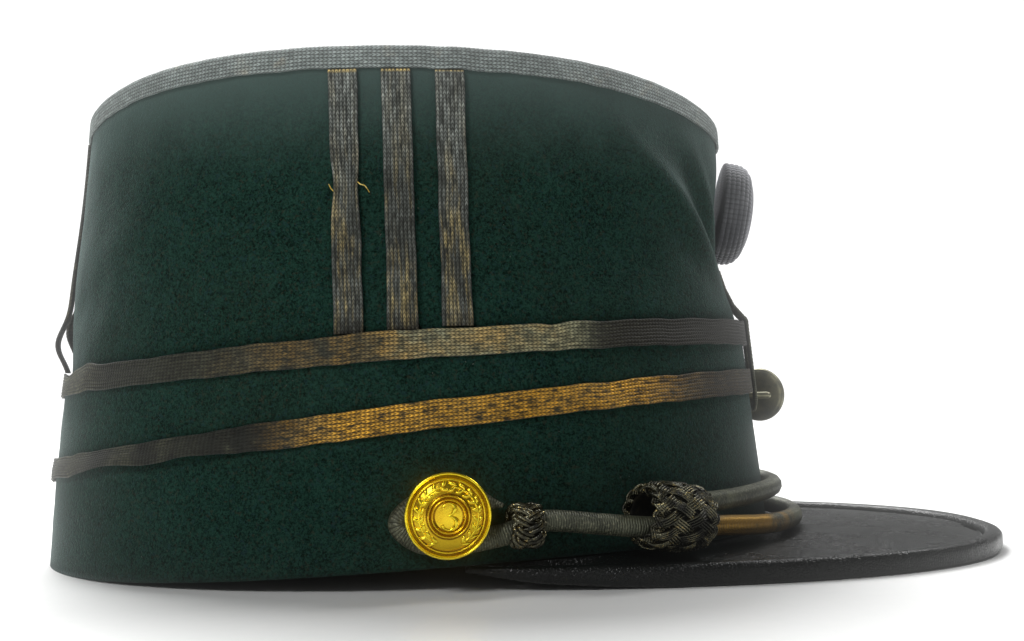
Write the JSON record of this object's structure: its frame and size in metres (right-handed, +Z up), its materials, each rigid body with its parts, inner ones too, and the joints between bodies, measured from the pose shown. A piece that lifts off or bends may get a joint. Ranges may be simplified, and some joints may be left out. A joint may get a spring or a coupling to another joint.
{
  "type": "shako",
  "caption": "Tapered green cloth shako with a flat black peak, tarnished lace bands and stripes, a cockade and a double chin cord on gilt buttons",
  "frame": {"origin": "middle of the whole hat's bounding box, on the surface that the back rim and the peak's edge stand on", "axes": "+X towards the tip of the peak, +Y towards the wearer's left, +Z up through the crown"},
  "size_m": [0.2674, 0.1868, 0.1305],
  "materials": {
    "green_cloth": "felted wool",
    "tarnished_lace": "woven metal thread, tarnished",
    "gold_cord": "gold thread over a core, tarnished",
    "cockade_cord": "wound cord",
    "gilt_brass": "stamped and gilt",
    "black_leather": "satin, fine grain"
  },
  "bodies": {
    "root": {"headband": "green_cloth", "crown": "green_cloth", "tip": "green_cloth", "edge_lace": "tarnished_lace", "upper_lace": "tarnished_lace", "lower_lace": "tarnished_lace", "right_stripe_1": "tarnished_lace", "right_stripe_2": "tarnished_lace", "right_stripe_3": "tarnished_lace", "left_stripe_1": "tarnished_lace", "left_stripe_2": "tarnished_lace", "left_stripe_3": "tarnished_lace", "back_stripe_right": "tarnished_lace", "back_stripe_middle": "tarnished_lace", "back_stripe_left": "tarnished_lace", "peak": "black_leather", "peak_binding": "black_leather", "cockade": "cockade_cord", "cockade_loop": "gold_cord", "front_button": "gilt_brass", "side_button_right": "gilt_brass", "side_button_left": "gilt_brass", "chin_cord_right": "gold_cord", "chin_cord_left": "gold_cord", "cord_knot_right": "gold_cord", "cord_knot_left": "gold_cord", "cord_slide_right": "gold_cord", "cord_slide_left": "gold_cord"}
  },
  "joints": []
}
